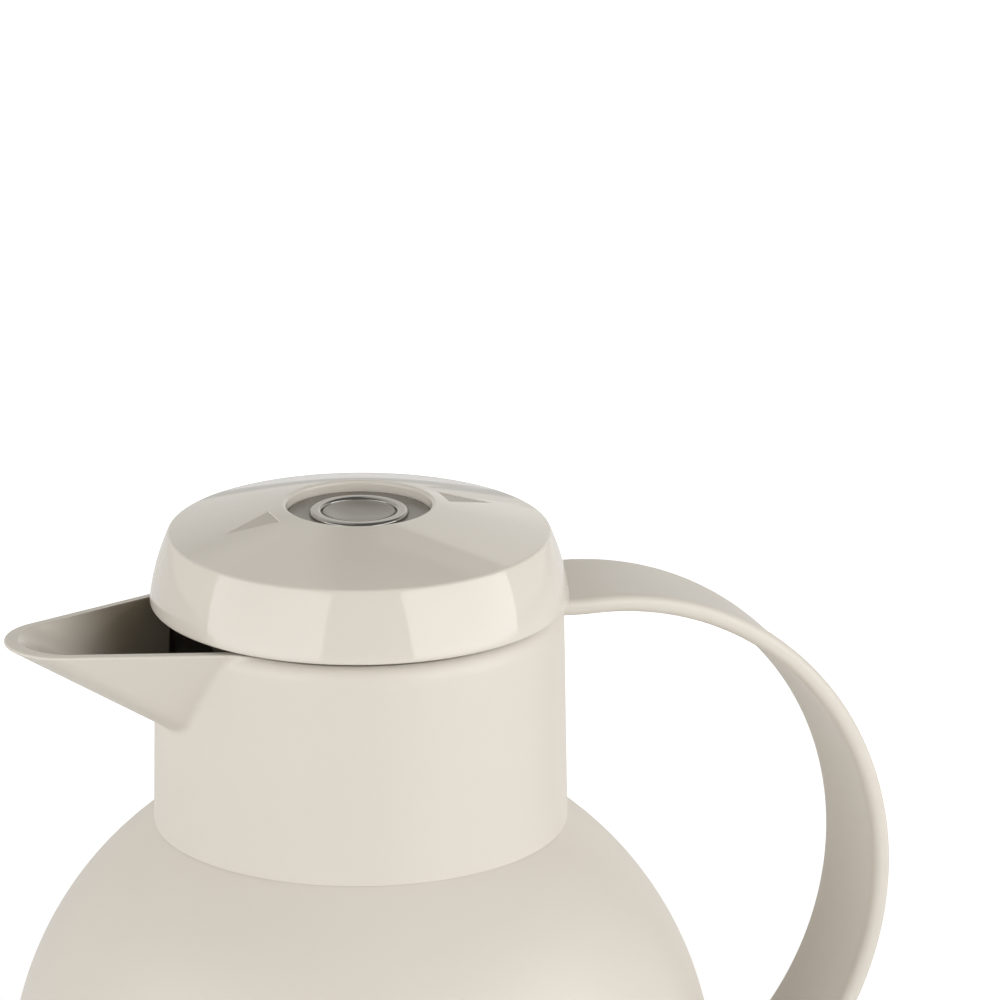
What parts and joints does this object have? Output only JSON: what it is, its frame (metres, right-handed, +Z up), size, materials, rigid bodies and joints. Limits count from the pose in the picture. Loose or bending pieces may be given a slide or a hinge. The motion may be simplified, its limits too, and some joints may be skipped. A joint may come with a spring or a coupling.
{
  "type": "insulated teapot",
  "caption": "Ball-shaped insulated tea jug with a glass flask, straight neck, beak spout, ring handle and a screw-in lid with a push-button pour valve.",
  "frame": {"origin": "on the axis of ball and neck, in the plane that the non-slip ring stands on", "axes": "+Z up along that axis, +X towards the handle, -X towards the spout, +Y to the jug's left seen from the spout's side"},
  "size_m": [0.1934, 0.15, 0.1921],
  "materials": {
    "body_plastic": "satin moulded polypropylene, warm light grey",
    "lid_plastic": "high-gloss moulded plastic, warm light grey",
    "stopper_plastic": "dark grey moulded plastic",
    "silicone": "milky grey silicone",
    "flask_glass": "silvered glass",
    "steel": "plain stainless steel",
    "foot_rubber": "soft dark rubber"
  },
  "bodies": {
    "jug": {"upper_shell": "body_plastic", "lower_shell": "body_plastic", "neck_collar": "body_plastic", "handle": "body_plastic", "pour_ring": "stopper_plastic", "collar_seal": "silicone", "flask_gasket": "silicone", "inner_flask": "flask_glass", "outer_flask": "flask_glass", "support_cushion": "foot_rubber", "base_cap": "body_plastic", "base_seal": "silicone", "foot_ring": "foot_rubber"},
    "washer": {"drip_washer": "silicone"},
    "mouth_seal": {"stopper_gasket": "silicone"},
    "lid": {"lid_cover": "lid_plastic", "stopper_body": "stopper_plastic", "stem_seal": "silicone", "latch_sleeve": "stopper_plastic", "return_spring": "steel"},
    "button": {"push_button": "lid_plastic", "button_ring": "lid_plastic", "valve_stem": "steel", "valve_disc": "stopper_plastic", "valve_gasket": "silicone", "stem_nut": "steel", "rotor_clip": "steel"},
    "latch": {"latch_rotor": "stopper_plastic"}
  },
  "joints": [
    {"name": "lid_lift", "type": "slide", "parent": "jug", "child": "washer", "axis": [0, 0, 1], "range_m": [0, 0.06]},
    {"name": "lid_rise", "type": "slide", "parent": "washer", "child": "mouth_seal", "axis": [0, 0, 1], "range_m": [0, 0.0061]},
    {"name": "lid_turn", "type": "hinge", "parent": "mouth_seal", "child": "lid", "pos_m": [0, 0, 0.17], "axis": [0, 0, 1], "range_deg": [0, 120]},
    {"name": "button_press", "type": "slide", "parent": "lid", "child": "button", "axis": [0, 0, -1], "range_m": [0, 0.004], "stiffness_N_per_m": 600, "springref_m": -0.005, "deforming": ["return_spring"]},
    {"name": "latch_turn", "type": "hinge", "parent": "button", "child": "latch", "pos_m": [0, 0, 0.175], "axis": [0, 0, 1], "range_deg": [0, 30.1]}
  ],
  "couplings": [
    {"joint": "lid_rise", "follows": "lid_turn", "m_per_rad": 0.0028648},
    {"joint": "latch_turn", "follows": "button_press", "rad_per_m": 130.9}
  ]
}
